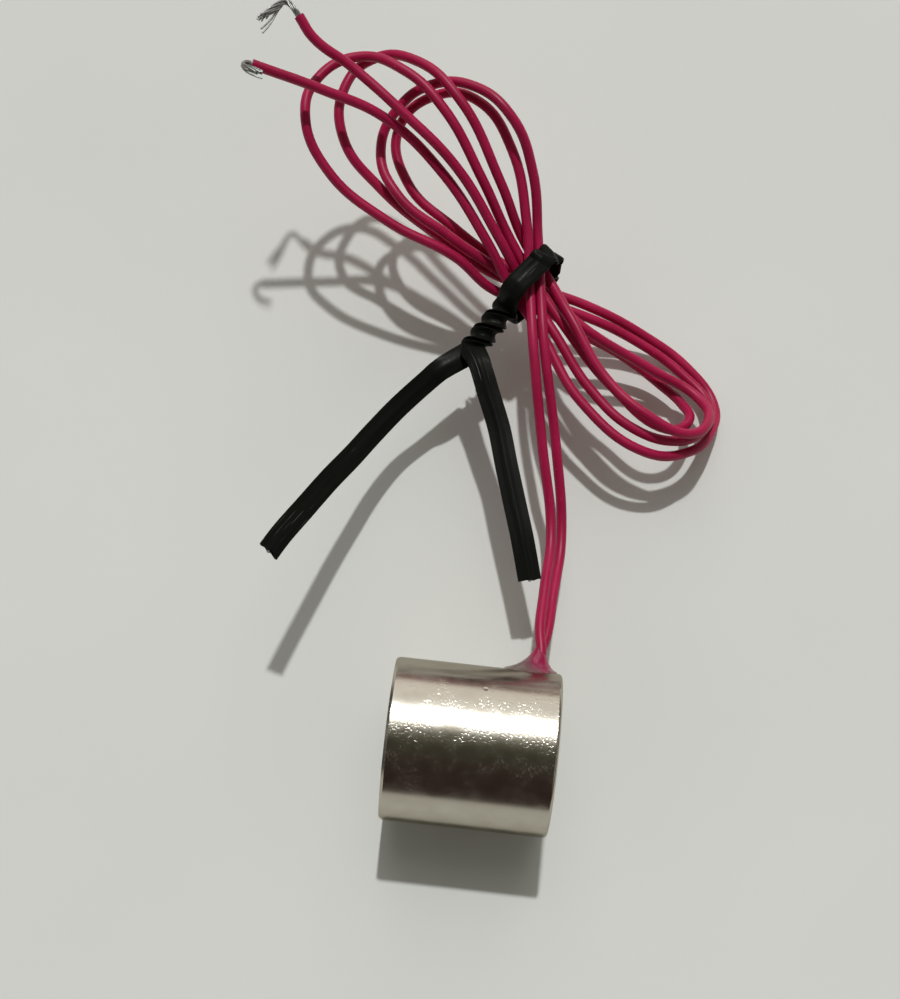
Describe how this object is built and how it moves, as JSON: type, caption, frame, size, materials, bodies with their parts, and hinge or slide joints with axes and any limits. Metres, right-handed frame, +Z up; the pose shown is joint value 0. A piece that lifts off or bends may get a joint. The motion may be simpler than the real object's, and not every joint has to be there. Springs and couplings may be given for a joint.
{
  "type": "cup electromagnet",
  "caption": "Small round holding electromagnet in a bright nickel-plated steel cup, with red insulated leads tied in a figure-of-eight hank by a black twist tie.",
  "frame": {"origin": "on the floor, under the middle of the magnet's cup, which lies on its side", "axes": "+X along the magnet's axis from the pole face to the threaded back; +Y the way the leads leave the cup; +Z up"},
  "size_m": [0.0672, 0.0993, 0.0348],
  "materials": {
    "nickel_plate": "bright nickel plate on turned steel",
    "bobbin_nylon": "moulded",
    "enamelled_copper": "enamelled wire",
    "coil_tape_film": "polyester film",
    "tinned_copper": "tinned strands",
    "sleeve_black": "shrunk sleeve",
    "potting_epoxy": "cast resin",
    "red_pvc": "extruded, satin",
    "tie_black": "extruded strip",
    "tie_steel": "galvanised wire"
  },
  "bodies": {
    "root": {"cup_shell": "nickel_plate", "pole_core": "nickel_plate", "coil_bobbin": "bobbin_nylon", "coil_winding": "enamelled_copper", "coil_tape": "coil_tape_film", "coil_start_tail": "enamelled_copper", "coil_finish_tail": "enamelled_copper", "lead_a_inner_end": "tinned_copper", "lead_b_inner_end": "tinned_copper", "solder_joint_a": "tinned_copper", "solder_joint_b": "tinned_copper", "splice_sleeve_a": "sleeve_black", "splice_sleeve_b": "sleeve_black", "face_resin": "potting_epoxy", "exit_resin": "potting_epoxy", "lead_a": "red_pvc", "lead_b": "red_pvc", "lead_a_bare_end": "tinned_copper", "lead_b_bare_end": "tinned_copper", "tie_strip": "tie_black", "tie_wire": "tie_steel"}
  },
  "joints": []
}
